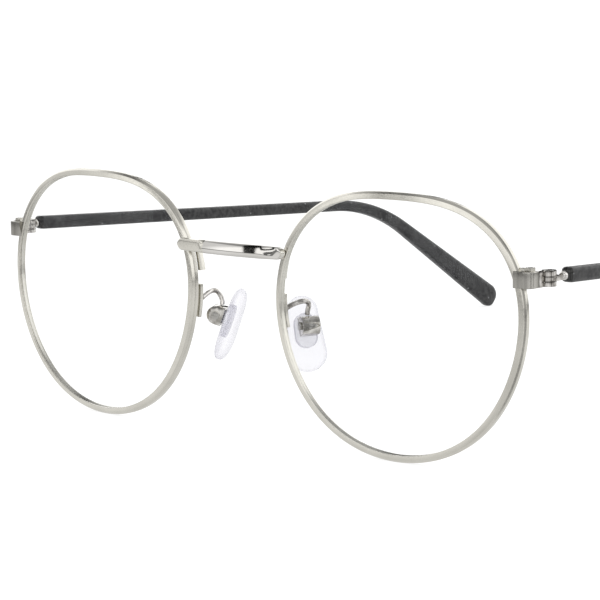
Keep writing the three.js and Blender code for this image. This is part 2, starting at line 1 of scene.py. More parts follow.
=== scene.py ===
# Looks of a pair of round wire eyeglasses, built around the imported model.
# Sizes of pieces are millimetres, and turn into metres where a mesh is made. The stage is in metres.
# +X is the wearer's left, -Y the front. Pieces are drawn for the left and mirrored for the right.
import json
import math
import bmesh
import bpy
import numpy as np
from mathutils import Matrix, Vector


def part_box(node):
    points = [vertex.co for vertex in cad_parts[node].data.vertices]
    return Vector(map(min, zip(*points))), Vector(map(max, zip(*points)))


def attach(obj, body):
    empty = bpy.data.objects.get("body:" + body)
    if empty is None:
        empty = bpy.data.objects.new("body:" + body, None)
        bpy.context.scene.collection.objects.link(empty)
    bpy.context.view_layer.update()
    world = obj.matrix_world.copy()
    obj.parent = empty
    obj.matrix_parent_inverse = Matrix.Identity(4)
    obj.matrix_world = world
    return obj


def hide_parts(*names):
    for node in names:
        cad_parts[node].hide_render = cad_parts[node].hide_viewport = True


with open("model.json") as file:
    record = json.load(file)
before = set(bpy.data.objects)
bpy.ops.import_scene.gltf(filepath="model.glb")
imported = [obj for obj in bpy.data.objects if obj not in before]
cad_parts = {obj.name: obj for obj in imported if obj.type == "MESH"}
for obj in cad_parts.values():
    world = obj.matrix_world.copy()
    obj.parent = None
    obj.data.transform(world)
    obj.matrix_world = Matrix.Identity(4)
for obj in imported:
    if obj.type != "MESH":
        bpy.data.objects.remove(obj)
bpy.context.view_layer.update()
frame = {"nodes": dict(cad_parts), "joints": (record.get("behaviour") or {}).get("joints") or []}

MM = 0.001
SIDES = (("left", 1.0), ("right", -1.0))
GAP = 0.05  # between neighbouring pieces

# Rims and lenses: one outline, seen from the front, sets both
RIM_CENTRE_X = 36.1
RIM_MEAN_RADIUS = 25.0
RIM_OVAL = 0.051  # wider than tall
RIM_FULL_TOP = 0.032  # fuller upper corners, rounder bottom
RIM_SQUARE = -0.0144  # slightly squared sides
RIM_WIDTH = 1.3
RIM_DEPTH = 1.5
RIM_CHAMFER = 0.34
RIM_CRISP = 0.05  # rounding of the chamfers and of the groove
RIM_SOFT = 0.12  # rounding of the edges on the lens side
RIM_STEPS = 288
GROOVE_WIDTH = 0.9
GROOVE_DEPTH = 0.45
FACE_WRAP = math.radians(4.25)  # each rim turns back towards its temple
LENS_CURVE = 100.0  # radius of the sphere that the rims and lenses follow
LENS_THICKNESS = 1.1
LENS_STEPS = 160
LENS_RINGS = [*np.linspace(0.04, 0.96, 20), 0.985]  # on each face, as shares of the way out
SPLIT_RISE = 9.43  # of the slot in the rim, above the rim's centre
SPLIT_GAP = 0.06

# Bridge
BRIDGE_HEIGHT = 34.65
BRIDGE_FRONT = 0.1  # from the front of the rims' curve back to the bar
BRIDGE_HALF_LENGTH = 12.6
BRIDGE_END_RADIUS = 1.12
BRIDGE_MIDDLE_HALF = 1.22
BRIDGE_DEPTH = 1.3
BRIDGE_BOW = 80.0  # radius of the bar seen from above
BRIDGE_POLISH = (-5.5, 12.4)  # the polished stretch, oval and leant back
BRIDGE_EASE = (1.2, 4.4)  # over which the section changes, before and inside those two places
BRIDGE_TILT = math.radians(16)
BRIDGE_BOXY = 5.0  # power of the section at the ends
BRIDGE_OVAL = 2.0  # and in the polished stretch
BRIDGE_SIDES = 40
BRIDGE_STEPS = 60  # from the middle to the round end
BRIDGE_END_SWEEP = (0.1, 1.5, 10)  # angles round the end
FOOT_BOTTOM = 29.65
FOOT_WRAP_BOTTOM = 33.7
FOOT_WRAP_EASE = 0.25  # height over which the wrap starts
FOOT_TOP = 35.2
FOOT_BACK = 4.4
FOOT_INSET = 0.25  # from the rim's outline to the foot's inner side
FOOT_OUTSET = 0.4  # and to its outer side, behind the rim
FOOT_WRAP_OUTSET = 0.85  # and beside the rim
FOOT_WRAP_FRONT = 1.1  # from the front of the rims' curve back to the wrap
FOOT_CLEARANCE = 0.03  # between the rim's back and the foot
FOOT_CORNER = 0.01  # keeps two corners apart where the foot doesn't wrap
FOOT_CRISP = 0.02  # rounding of the edges along the rim
FOOT_SOFT = (0.1, 0.12)  # rounding of the outer front edge and of the back
FOOT_STEPS = 28

# Temples, along Y from the hinge axis, heights above the floor
TEMPLE_OFFSET = 1.25  # of the temple's middle outwards from the hinge axis
TEMPLE_CONVERGE = math.radians(2.35)
TEMPLE_THICKNESS = 2.2
SLEEVE_START = 3.2
SLEEVE_MOUTH = 0.7  # of the sleeve, polished
# Its edges: height at the hinge, slope and drop in degrees, where the two would meet, and the
# radius of the bend between them
SLEEVE_TOP = {
    "height": 35.2,
    "slope": 3.05,
    "drop": 30.3,
    "bend_at": 103.0,
    "radius": 50.6,
    "end": 145.5,
}
SLEEVE_BOTTOM = {
    "height": 32.55,
    "slope": 2.9,
    "drop": 33.7,
    "bend_at": 102.5,
    "radius": 45.4,
    "end": 142.2,
}
SLEEVE_STEPS = (60, 30, 34)  # along the straight, the bend and the drop
SLEEVE_NOSE = [(0.0, 0.62), (0.16, 0.78), (0.4, 0.92), (0.75, 1.0)]  # along, share of the section
SLEEVE_TIP_REACH = 2.9  # of the rounded tip beyond the ends of the two edges
SLEEVE_TIP_SWEEP = (0.12, 1.5, 14)  # angles round the tip
SLEEVE_TIP_HEIGHT = 0.75  # power by which the tip's height closes
SLEEVE_TIP_THICKNESS = 0.45  # and its thickness
SLEEVE_ROUND = 0.55  # power that rounds the section
SLEEVE_SIDES = 36
CORE_RADIUS = 0.5
CORE_HEIGHT = 33.85
NECK_PROFILE = [  # along and radius: wire, the ring at the sleeve's mouth, wire inside the sleeve
    (1.95, 0.44),
    (2.05, CORE_RADIUS),
    (2.5, CORE_RADIUS),
    (2.55, 0.68),
    (2.68, 0.8),
    (3.0, 0.8),
    (3.12, 0.7),
    (3.14, CORE_RADIUS),
    (12.0, CORE_RADIUS),
    (12.1, 0.42),
]
NECK_SIDES = 28

# Nose pads, in the frame of their rocking axis: X outwards, Y along the axis, Z up the pad
PAD_SPLAY = math.radians(-30)
PAD_LEAN = math.radians(-19.5)
PAD_CENTRE = (-2.9, -0.95)  # X and Z
PAD_THICKNESS = 2.3
PAD_OUTLINE = (2.9, 3.75, 14.0)  # top radius, bottom radius and length
PAD_STEPS = 96
PAD_CROWN = 0.35
PAD_ROUND = 0.42  # power that rounds the pad's edge
PAD_FRONT_ROUND = 0.8  # power that rounds the front
PAD_BACK_ROUND = 0.62  # and the back
PAD_FRONT_SWEEP = (0.1, math.pi / 2, 12)  # angles from the middle of the front to the edge
PAD_BACK_SWEEP = (math.pi / 2, math.pi - 0.62, 9)  # and on to the flat of the back
POCKET = (2.04, 2.05, 6.3)  # top radius, bottom radius and length
POCKET_RISE = 0.45  # of the pocket's middle above the pad's
POCKET_DEPTH = 1.1
POCKET_MOUTH = 1.08  # size of its mouth, as a share
POCKET_LIP = 0.06
POCKET_FLOOR = 0.9  # and of its floor
POCKET_CORNER = 0.05

# Pad arms: from the plate behind the rim, over and down into the pad's box. X from the middle,
# Y from the front of the rims' curve, Z above the floor
ARM_RADIUS = 0.46
ARM_END = 0.86  # share of the radius at the broken ends
ARM_SIDES = 20
ARM_ROUTE = [
    (10.35, 4.05, 24.4),
    (10.5, 5.1, 24.8),
    (10.8, 6.5, 25.15),
    (11.05, 7.9, 25.25),
    (11.1, 8.9, 24.95),
    (10.85, 9.45, 24.2),
    (10.5, 9.55, 23.3),
    (10.4, 9.5, 22.45),
]

# End pieces
STRAP_START = 59.75  # X of the strap's end in front of the rim
STRAP_THICKNESS = 0.7
STRAP_BEND = 1.5
STRAP_ROUND = 0.16
SEAT_REACH = {"upper": 1.5, "lower": 0.9}  # from the closing block to the rim
SEAT_OVERLAP = 0.1
SEAT_MARGIN_LOW = np.array([0.05, 0.1])  # Y and Z inside the closing block's sides
SEAT_MARGIN_HIGH = np.array([0.25, 0.15])
SEAT_ROUND = 0.12

# CAD nodes that are shown as they are, with broken edges: slot, body, bevel and material.
# A body other than the front has one on each side.
MACHINED = {
    "closing_block_upper": ("satin_metal", "front", 0.06, "satin_metal"),
    "closing_block_lower": ("satin_metal", "front", 0.06, "satin_metal"),
    "closing_screw": ("screw_metal", "front", 0.03, "screw_metal"),
    # The hinges take a metal whose dark-to-light clouds paint mottled reflections.
    "front_hinge": ("polished_metal", "front", 0.07, "hinge_metal_painted_reflections"),
    "hinge_screw": ("screw_metal", "front", 0.04, "screw_metal"),
    "temple_hinge": ("polished_metal", "temple", 0.07, "hinge_metal_painted_reflections"),
    "pad_arm_plate": ("satin_metal", "front", 0.1, "satin_metal"),
    # The pad boxes take a metal whose dark-to-light clouds paint highlights and dark reflections.
    "pad_box": ("polished_metal", "front", 0.06, "box_metal_painted_reflections"),
    "pad_screw": ("screw_metal", "front", 0.04, "screw_metal"),
    "pad_core": ("frosted_core", "pad", 0.1, "frosted_core"),
}
MACHINED_SHARP = 35  # degrees from which an edge is broken


# Materials ----------------------------------------------------------------------------------


def new_material(name):
    """Material with its nodes and links."""
    material = bpy.data.materials.new(name)
    material.use_nodes = True
    return material, material.node_tree.nodes, material.node_tree.links


def noise(nodes, links, per_metre, detail=3.0, stretch=(1, 1, 1)):
    """Noise texture over the piece, per_metre cells to the metre, drawn out by stretch."""
    place = nodes.new("ShaderNodeTexCoord")
    mapping = nodes.new("ShaderNodeMapping")
    mapping.inputs["Scale"].default_value = stretch
    texture = nodes.new("ShaderNodeTexNoise")
    texture.inputs["Scale"].default_value = per_metre
    texture.inputs["Detail"].default_value = detail
    links.new(place.outputs["Object"], mapping.inputs["Vector"])
    links.new(mapping.outputs["Vector"], texture.inputs["Vector"])
    return texture.outputs["Fac"]


def spread(nodes, links, value, low, high):
    """Maps the middle of a noise to the range from low to high."""
    ranged = nodes.new("ShaderNodeMapRange")
    ranged.inputs["From Min"].default_value = 0.3
    ranged.inputs["From Max"].default_value = 0.7
    ranged.inputs["To Min"].default_value = low
    ranged.inputs["To Max"].default_value = high
    links.new(value, ranged.inputs["Value"])
    return ranged.outputs["Result"]


def shades(nodes, links, value, dark, light):
    """Colour between dark and light by a noise."""
    ramp = nodes.new("ShaderNodeValToRGB")
    ramp.color_ramp.elements[0].position = 0.35
    ramp.color_ramp.elements[1].position = 0.65
    ramp.color_ramp.elements[0].color = (*dark, 1)
    ramp.color_ramp.elements[1].color = (*light, 1)
    links.new(value, ramp.inputs["Fac"])
    return ramp.outputs["Color"]


def bump(nodes, links, value, height_mm, shader):
    """Relief of a noise on the shader, height_mm deep."""
    raised = nodes.new("ShaderNodeBump")
    raised.inputs["Strength"].default_value = 1.0
    raised.inputs["Distance"].default_value = height_mm * MM
    links.new(value, raised.inputs["Height"])
    links.new(raised.outputs["Normal"], shader.inputs["Normal"])


def math_node(nodes, links, operation, *values):
    """Result of a math node over numbers and sockets."""
    node = nodes.new("ShaderNodeMath")
    node.operation = operation
    for i, value in enumerate(values):
        if isinstance(value, (int, float)):
            node.inputs[i].default_value = value
        else:
            links.new(value, node.inputs[i])
    return node.outputs["Value"]


def metal(name, dark, light, roughness, grain_mm, cloud, stretch):
    """Metal with a cloudy tone, a roughness that wanders and a fine grain. On the hinge and box metals
    the wide dark-to-light clouds are painted mottled reflections.
    """
    material, nodes, links = new_material(name)
    shader = nodes["Principled BSDF"]
    shader.inputs["Metallic"].default_value = 1.0
    tone_and_painted_reflections = noise(nodes, links, cloud, 3.0, stretch)
    links.new(shades(nodes, links, tone_and_painted_reflections, dark, light), shader.inputs["Base Color"])
    wear = noise(nodes, links, 1800, 4.0, stretch)
    links.new(spread(nodes, links, wear, *roughness), shader.inputs["Roughness"])
    bump(nodes, links, noise(nodes, links, 9000, 2.0, stretch), grain_mm, shader)
    return material


def sleeve_plastic():
    """Charcoal plastic with a mottled satin skin and sparse pale flecks."""
    material, nodes, links = new_material("temple_plastic")
    shader = nodes["Principled BSDF"]
    speckle = math_node(nodes, links, "MULTIPLY", noise(nodes, links, 1300, 5.0), 0.65)
    mottle = math_node(nodes, links, "MULTIPLY_ADD", noise(nodes, links, 330, 2.0), 0.35, speckle)
    skin = shades(nodes, links, mottle, (0.004, 0.004, 0.005), (0.045, 0.045, 0.045))
    flecks = nodes.new("ShaderNodeTexVoronoi")
    flecks.inputs["Scale"].default_value = 420
    place = nodes.new("ShaderNodeTexCoord")
    links.new(place.outputs["Object"], flecks.inputs["Vector"])
    fleck = nodes.new("ShaderNodeMapRange")
    fleck.inputs["From Min"].default_value = 0.05
    fleck.inputs["From Max"].default_value = 0.10
    fleck.inputs["To Min"].default_value = 1.0
    fleck.inputs["To Max"].default_value = 0.0
    links.new(flecks.outputs["Distance"], fleck.inputs["Value"])
    mixed = nodes.new("ShaderNodeMix")
    mixed.data_type = "RGBA"
    mixed.inputs["B"].default_value = (0.22, 0.225, 0.23, 1)
    links.new(fleck.outputs["Result"], mixed.inputs["Factor"])
    links.new(skin, mixed.inputs["A"])
    links.new(mixed.outputs["Result"], shader.inputs["Base Color"])
    links.new(spread(nodes, links, noise(nodes, links, 1200), 0.30, 0.42), shader.inputs["Roughness"])
    shader.inputs["Specular IOR Level"].default_value = 0.33
    shader.inputs["Sheen Weight"].default_value = 0.08
    shader.inputs["Sheen Roughness"].default_value = 0.35
    bump(nodes, links, mottle, 0.012, shader)
    return material


def mouth_plastic():
    """Polished dark plastic at the mouth of the sleeve."""
    material, nodes, links = new_material("mouth_plastic")
    shader = nodes["Principled BSDF"]
    tone = shades(nodes, links, noise(nodes, links, 900), (0.003, 0.003, 0.003), (0.014, 0.014, 0.013))
    links.new(tone, shader.inputs["Base Color"])
    links.new(spread(nodes, links, noise(nodes, links, 1500), 0.06, 0.14), shader.inputs["Roughness"])
    bump(nodes, links, noise(nodes, links, 1100), 0.02, shader)
    return material


def lens_glass():
    """Clear coated lens: what is behind shows unbent, with a thin reflection that grows at the edge."""
    material, nodes, links = new_material("clear_lens")
    nodes.remove(nodes["Principled BSDF"])
    through = nodes.new("ShaderNodeBsdfTransparent")
    tint = shades(nodes, links, noise(nodes, links, 25), (0.985, 0.988, 0.990), (0.992, 0.993, 0.992))
    links.new(tint, through.inputs["Color"])
    shine = nodes.new("ShaderNodeBsdfGlossy")
    shine.inputs["Color"].default_value = (0.93, 0.95, 1.0, 1)
    links.new(spread(nodes, links, noise(nodes, links, 300), 0.01, 0.03), shine.inputs["Roughness"])
    facing = nodes.new("ShaderNodeLayerWeight")
    facing.inputs["Blend"].default_value = 0.5
    grazing = math_node(nodes, links, "POWER", facing.outputs["Facing"], 5.0)
    share = math_node(nodes, links, "MULTIPLY_ADD", grazing, 0.5, 0.004)
    mixed = nodes.new("ShaderNodeMixShader")
    links.new(share, mixed.inputs["Fac"])
    links.new(through.outputs["BSDF"], mixed.inputs[1])
    links.new(shine.outputs["BSDF"], mixed.inputs[2])
    links.new(mixed.outputs["Shader"], nodes["Material Output"].inputs["Surface"])
    return material


def milky(name, dark, light, clear, haze, roughness):
    """Cloudy clear plastic: see-through face on, and whiter towards its edges."""
    material, nodes, links = new_material(name)
    shader = nodes["Principled BSDF"]
    links.new(shades(nodes, links, noise(nodes, links, 260), dark, light), shader.inputs["Base Color"])
    links.new(spread(nodes, links, noise(nodes, links, 900), *roughness), shader.inputs["Roughness"])
    bump(nodes, links, noise(nodes, links, 700), 0.01, shader)
    through = nodes.new("ShaderNodeBsdfTransparent")
    through.inputs["Color"].default_value = (*clear, 1)
    facing = nodes.new("ShaderNodeLayerWeight")
    facing.inputs["Blend"].default_value = 0.5
    edge = math_node(nodes, links, "POWER", facing.outputs["Facing"], 1.8)
    share = math_node(nodes, links, "MULTIPLY_ADD", edge, haze[1] - haze[0], haze[0])
    mixed = nodes.new("ShaderNodeMixShader")
    links.new(share, mixed.inputs["Fac"])
    links.new(through.outputs["BSDF"], mixed.inputs[1])
    links.new(shader.outputs["BSDF"], mixed.inputs[2])
    links.new(mixed.outputs["Shader"], nodes["Material Output"].inputs["Surface"])
    return material


METALS = {  # dark, light, roughness, grain in millimetres, cloud cells to the metre, stretch
    "satin_metal": ((0.60, 0.583, 0.53), (0.66, 0.642, 0.585), (0.16, 0.23), 0.0006, 160, (1, 1, 1)),
    "polished_metal": ((0.60, 0.585, 0.555), (0.66, 0.645, 0.62), (0.03, 0.07), 0.0001, 160, (1, 1, 1)),
    "strap_metal": ((0.22, 0.213, 0.193), (0.47, 0.457, 0.425), (0.14, 0.22), 0.001, 420, (1, 1, 0.06)),
    # The hinge metal's clouds run from dark to light: painted mottled reflections on the hinges and the
    # pad arms' wires.
    "hinge_metal_painted_reflections": ((0.24, 0.225, 0.205), (0.72, 0.70, 0.67), (0.04, 0.10), 0.0003, 700, (1, 1, 1)),
    "screw_metal": ((0.42, 0.41, 0.39), (0.52, 0.51, 0.48), (0.12, 0.25), 0.001, 160, (1, 1, 1)),
    # The box metal's clouds run from dark to light: painted highlights and dark reflections on the pad
    # boxes.
    "box_metal_painted_reflections": ((0.36, 0.345, 0.315), (0.80, 0.78, 0.74), (0.05, 0.11), 0.0003, 700, (1, 1, 1)),
}
MILKY = {  # dark, light, colour seen through it, haze face on and at the edges, roughness
    "clear_pad": (
        (0.62, 0.617, 0.665),
        (0.72, 0.717, 0.76),
        (0.962, 0.96, 0.972),
        (0.12, 0.85),
        (0.12, 0.25),
    ),
    "frosted_core": (
        (0.66, 0.66, 0.72),
        (0.78, 0.78, 0.83),
        (0.96, 0.96, 0.97),
        (0.2, 0.7),
        (0.3, 0.5),
    ),
}
MATERIALS = {name: metal(name, *look) for name, look in METALS.items()}
MATERIALS.update({name: milky(name, *look) for name, look in MILKY.items()})
MATERIALS["temple_plastic"] = sleeve_plastic()
MATERIALS["mouth_plastic"] = mouth_plastic()
MATERIALS["clear_lens"] = lens_glass()


# Meshes -------------------------------------------------------------------------------------


def finish_mesh(name, mesh, materials, sharp):
    """Object for a mesh in metres, with faces turned outwards and edges over sharp degrees crisp."""
    shape = bmesh.new()
    shape.from_mesh(mesh)
    bmesh.ops.recalc_face_normals(shape, faces=shape.faces)
    shape.to_mesh(mesh)
    shape.free()
    for material in materials:
        mesh.materials.append(MATERIALS[material])
    mesh.shade_smooth()
    mesh.set_sharp_from_angle(angle=math.radians(sharp))
    piece = bpy.data.objects.new(name, mesh)
    bpy.context.scene.collection.objects.link(piece)
    return piece


def make_piece(name, points, faces, materials, sharp=40):
    """Object for points in millimetres and their faces."""
    mesh = bpy.data.meshes.new(name)
    mesh.from_pydata([tuple(p) for p in np.asarray(points) * MM], [], faces)
    return finish_mesh(name, mesh, materials, sharp)


def seat(piece, body, slot, *nodes):
    """Puts the piece on a body, in place of these CAD nodes. The slot is not used."""
    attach(piece, body)
    if nodes:
        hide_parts(*nodes)
    return piece


def loft(rings):
    """Points and faces of a skin over rings of points, capped at both ends."""
    rings = np.asarray(rings, float)
    count, sides = rings.shape[:2]
    faces = []
    for here in range(0, (count - 1) * sides, sides):
        following = here + sides
        for j in range(sides):
            k = (j + 1) % sides
            faces.append((here + j, here + k, following + k, following + j))
    faces.append(tuple(reversed(range(sides))))
    faces.append(tuple(range((count - 1) * sides, count * sides)))
    return rings.reshape(-1, 3), faces


def rounded(corners, steps):
    """Closed outline through (x, y, cut) corners, each cut back by that much and rounded."""
    edge = []
    for i, (x, y, back) in enumerate(corners):
        here = np.array([x, y])
        ends = []
        for other in (corners[i - 1], corners[(i + 1) % len(corners)]):
            along = np.array(other[:2]) - here
            ends.append(here + along / np.linalg.norm(along) * back)
        for t in np.linspace(0, 1, steps + 1):
            edge.append((1 - t) ** 2 * ends[0] + 2 * t * (1 - t) * here + t * t * ends[1])
    return np.array(edge)


def mirror(points, side):
    """Points drawn for the left, on this side."""
    return np.asarray(points) * np.array([side, 1, 1])


def turned(points, lean, swing, origin):
    """Points leant about Y, swung about Z and moved to origin."""
    turn = Matrix.Rotation(swing, 3, "Z") @ Matrix.Rotation(lean, 3, "Y")
    return np.asarray(points) @ np.array(turn).T + np.asarray(origin)


def joint_place(name):
    """Where a joint's axis is, in millimetres."""
    joint = next(j for j in frame["joints"] if j["name"] == name)
    return np.array(joint["pos_m"]) / MM


def centre_on(points, node):
    """Points moved so that their box has the same middle as a CAD node's."""
    low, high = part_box(node)
    middle = (np.array(low) + np.array(high)) / 2 / MM
    points = np.asarray(points)
    return points + middle - (points.min(0) + points.max(0)) / 2


def refined(node, slot, body, bevel, material):
    """Copy of a machined CAD node with its edges broken, as they are on the real piece."""
    mesh = frame["nodes"][node].data.copy()
    mesh.materials.clear()
    shape = bmesh.new()
    shape.from_mesh(mesh)
    bmesh.ops.remove_doubles(shape, verts=shape.verts, dist=0.002 * MM)
    bmesh.ops.dissolve_limit(shape, angle_limit=math.radians(1), verts=shape.verts, edges=shape.edges)
    edges = [e for e in shape.edges if e.calc_face_angle(0) > math.radians(MACHINED_SHARP)]
    bmesh.ops.bevel(
        shape, geom=edges, offset=bevel * MM, segments=3, profile=0.6, affect="EDGES", clamp_overlap=True
    )
    shape.to_mesh(mesh)
    shape.free()
    piece = finish_mesh(node + "_piece", mesh, [material], MACHINED_SHARP)
    return seat(piece, body, slot, node)


# Rims and lenses ----------------------------------------------------------------------------


def outline(angle, inset=0.0):
    """Point of the rim's outline from the front, moved inwards by inset."""
    radius = 1 + RIM_OVAL * math.cos(2 * angle)
    radius += RIM_FULL_TOP * math.sin(3 * angle)
    radius += RIM_SQUARE * math.cos(4 * angle)
    growth = -2 * RIM_OVAL * math.sin(2 * angle)
    growth += 3 * RIM_FULL_TOP * math.cos(3 * angle)
    growth -= 4 * RIM_SQUARE * math.sin(4 * angle)
    outwards = np.array([math.cos(angle), math.sin(angle)])
    across = np.array([-math.sin(angle), math.cos(angle)])
    along = growth * outwards + radius * across
    along /= np.linalg.norm(along)
    return RIM_MEAN_RADIUS * radius * outwards + inset * np.array([-along[1], along[0]])


def curved(flat, depth):
    """Point on the lens curve, depth behind its front, turned by the wrap of the face."""
    y = depth + (flat @ flat) / (2 * LENS_CURVE)
    x = flat[0] * math.cos(FACE_WRAP) - y * math.sin(FACE_WRAP)
    return x, y * math.cos(FACE_WRAP) + flat[0] * math.sin(FACE_WRAP), flat[1]


def rim_section():
    """Section of the rim's wire: inset and depth, with its chamfers outside and its groove inside."""
    middle, half = RIM_DEPTH / 2, GROOVE_WIDTH / 2
    return rounded([
        (0, RIM_CHAMFER, RIM_CRISP),
        (0, RIM_DEPTH - RIM_CHAMFER, RIM_CRISP),
        (RIM_CHAMFER, RIM_DEPTH, RIM_CRISP),
        (RIM_WIDTH, RIM_DEPTH, RIM_SOFT),
        (RIM_WIDTH, middle + half, RIM_CRISP),
        (RIM_WIDTH - GROOVE_DEPTH, middle, RIM_CRISP),
        (RIM_WIDTH, middle - half, RIM_CRISP),
        (RIM_WIDTH, 0, RIM_SOFT),
        (RIM_CHAMFER, 0, RIM_CRISP),
    ], 3)


def make_rim(name, side):
    """Wire round the lens, open at the closing block."""
    angles = np.linspace(0, math.pi / 2, 400)
    split = float(np.interp(SPLIT_RISE, [outline(a)[1] for a in angles], angles))
    half_slot = SPLIT_GAP / 2 / RIM_MEAN_RADIUS
    section = rim_section()
    rings = [
        [curved(outline(angle, inset), depth) for inset, depth in section]
        for angle in np.linspace(split + half_slot, split + 2 * math.pi - half_slot, RIM_STEPS)
    ]
    points, faces = loft(rings)
    points = centre_on(mirror(points, side), f"rim_{name}")
    piece = make_piece(f"rim_wire_{name}", points, faces, ["satin_metal"])
    return seat(piece, "front", "satin_metal", f"rim_{name}")


def make_lens(name, side):
    """Meniscus lens whose V edge sits in the rim's groove."""
    shoulder = RIM_WIDTH + GAP
    tip = 1 + (GROOVE_DEPTH - 2 * GAP) / (RIM_MEAN_RADIUS - shoulder)
    middle, half = RIM_DEPTH / 2, LENS_THICKNESS / 2
    edge = GROOVE_WIDTH / 2 - 2 * GAP
    profile = [(f, middle - half) for f in LENS_RINGS]
    profile += [(1, middle - edge), (tip, middle), (1, middle + edge)]
    profile += [(f, middle + half) for f in reversed(LENS_RINGS)]
    around = np.linspace(0, 2 * math.pi, LENS_STEPS, endpoint=False)
    rings = [[curved(outline(a, shoulder) * f, depth) for a in around] for f, depth in profile]
    points, faces = loft(rings)
    points = centre_on(mirror(points, side), f"lens_{name}")
    piece = make_piece(f"lens_clear_{name}", points, faces, ["clear_lens"])
    return seat(piece, "front", "clear_lens", f"lens_{name}")


# Bridge -------------------------------------------------------------------------------------


def smoothstep(low, high, value):
    """0 up to low, 1 from high on, and smooth between."""
    t = min(max((value - low) / (high - low), 0.0), 1.0)
    return t * t * (3 - 2 * t)


def bar_ring(x, base_y, base_z):
    """Section of the bridge bar at x: boxy at its ends, oval and leant back in the middle."""
    arm = BRIDGE_HALF_LENGTH - BRIDGE_END_RADIUS
    oval = smoothstep(BRIDGE_POLISH[0] - BRIDGE_EASE[0], BRIDGE_POLISH[0], x)
    oval *= 1 - smoothstep(BRIDGE_POLISH[1] - BRIDGE_EASE[1], BRIDGE_POLISH[1], x)
    half_height = BRIDGE_END_RADIUS + (BRIDGE_MIDDLE_HALF - BRIDGE_END_RADIUS) * oval
    if abs(x) > arm:
        half_height = math.sqrt(max(BRIDGE_END_RADIUS**2 - (abs(x) - arm) ** 2, 0.0))
    power = 2 / (BRIDGE_BOXY + (BRIDGE_OVAL - BRIDGE_BOXY) * oval)
    bow = (x * x - BRIDGE_HALF_LENGTH**2) / (2 * BRIDGE_BOW)
    tilt = BRIDGE_TILT * oval
    ring = []
    for angle in np.linspace(0, 2 * math.pi, BRIDGE_SIDES, endpoint=False):
        c, s = math.cos(angle), math.sin(angle)
        y = BRIDGE_DEPTH / 2 * math.copysign(abs(c) ** power, c)
        z = half_height * math.copysign(abs(s) ** power, s)
        leant_y = y * math.cos(tilt) + z * math.sin(tilt)
        leant_z = z * math.cos(tilt) - y * math.sin(tilt)
        ring.append((x, base_y + bow + leant_y, base_z + leant_z))
    return ring


def make_bridge():
    """Bar in front of the rims with round ends, polished between the satin ends."""
    base_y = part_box("bridge")[0].y / MM + BRIDGE_DEPTH / 2
    arm = BRIDGE_HALF_LENGTH - BRIDGE_END_RADIUS
    round_end = arm + BRIDGE_END_RADIUS * np.sin(np.linspace(*BRIDGE_END_SWEEP))
    half = np.concatenate([np.linspace(0, arm, BRIDGE_STEPS), round_end])
    stations = np.concatenate([-half[:0:-1], half])
    points, faces = loft([bar_ring(x, base_y, BRIDGE_HEIGHT) for x in stations])
    piece = make_piece("bridge_bar", points, faces, ["polished_metal", "satin_metal"], sharp=50)
    for polygon in piece.data.polygons:
        across = polygon.center.x / MM
        polygon.material_index = 0 if BRIDGE_POLISH[0] < across < BRIDGE_POLISH[1] else 1
    return seat(piece, "front", "polished_metal", "bridge")


def nose_angle(height):
    """Angle of the outline's point at a height above the floor, on the nose side."""
    angle = math.pi
    for _ in range(8):
        angle = math.pi - math.asin((height + outline(-math.pi / 2)[1]) / np.linalg.norm(outline(angle)))
    return angle


def rim_back(height, inset):
    """X and Y of the rim's back edge at a height on the nose side."""
    x, y, _ = curved(outline(nose_angle(height), inset), RIM_DEPTH)
    return RIM_CENTRE_X + x, y


def rims_front():
    """Y of the front of the rims' curve, from which the CAD places the front's pieces."""
    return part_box("bridge")[0].y / MM - BRIDGE_FRONT


def make_foot(name, side):
    """Strip soldered along the rim's nose side: round its edge at the top, behind it further down."""
    front = rims_front()
    rings = []
    for z in np.linspace(FOOT_BOTTOM, FOOT_TOP, FOOT_STEPS):
        wrap = smoothstep(FOOT_WRAP_BOTTOM - FOOT_WRAP_EASE, FOOT_WRAP_BOTTOM, z)
        inside, rim_end = rim_back(z, FOOT_INSET)
        beside = rim_back(z, -GAP)[0]
        outside = rim_back(z, -FOOT_OUTSET - (FOOT_WRAP_OUTSET - FOOT_OUTSET) * wrap)[0]
        start = rim_end + FOOT_CLEARANCE
        wrap_start = start - FOOT_CORNER + (FOOT_WRAP_FRONT - rim_end) * wrap
        section = rounded([
            (inside, start, FOOT_CRISP),
            (beside, start, FOOT_CRISP),
            (beside, wrap_start, FOOT_CRISP),
            (outside, wrap_start, FOOT_SOFT[0]),
            (outside, FOOT_BACK, FOOT_SOFT[1]),
            (inside, FOOT_BACK, FOOT_SOFT[1]),
        ], 3)
        rings.append([(x, front + y, z) for x, y in section])
    points, faces = loft(rings)
    piece = make_piece(f"bridge_foot_{name}", mirror(points, side), faces, ["satin_metal"])
    return seat(piece, "front", "satin_metal")


# Temples ------------------------------------------------------------------------------------


def bent_edge(edge):
    """Points along an edge of the sleeve in Y and Z: straight, round the bend, down the drop."""
    slope, drop = math.radians(edge["slope"]), math.radians(edge["drop"])
    straight_steps, bend_steps, drop_steps = SLEEVE_STEPS
    corner = np.array([edge["bend_at"], edge["height"] - edge["bend_at"] * math.tan(slope)])
    back = edge["radius"] * math.tan((drop - slope) / 2)
    first = corner - back * np.array([math.cos(slope), -math.sin(slope)])
    centre = first - edge["radius"] * np.array([math.sin(slope), math.cos(slope)])
    last = centre + edge["radius"] * np.array([math.sin(drop), math.cos(drop)])
    begin = np.array([SLEEVE_START, edge["height"] - SLEEVE_START * math.tan(slope)])
    stop = np.array([edge["end"], corner[1] - (edge["end"] - corner[0]) * math.tan(drop)])
    points = [begin + (first - begin) * t for t in np.linspace(0, 1, straight_steps, endpoint=False)]
    for angle in np.linspace(slope, drop, bend_steps, endpoint=False):
        points.append(centre + edge["radius"] * np.array([math.sin(angle), math.cos(angle)]))
    points += [last + (stop - last) * t for t in np.linspace(0, 1, drop_steps)]
    return np.array(points)


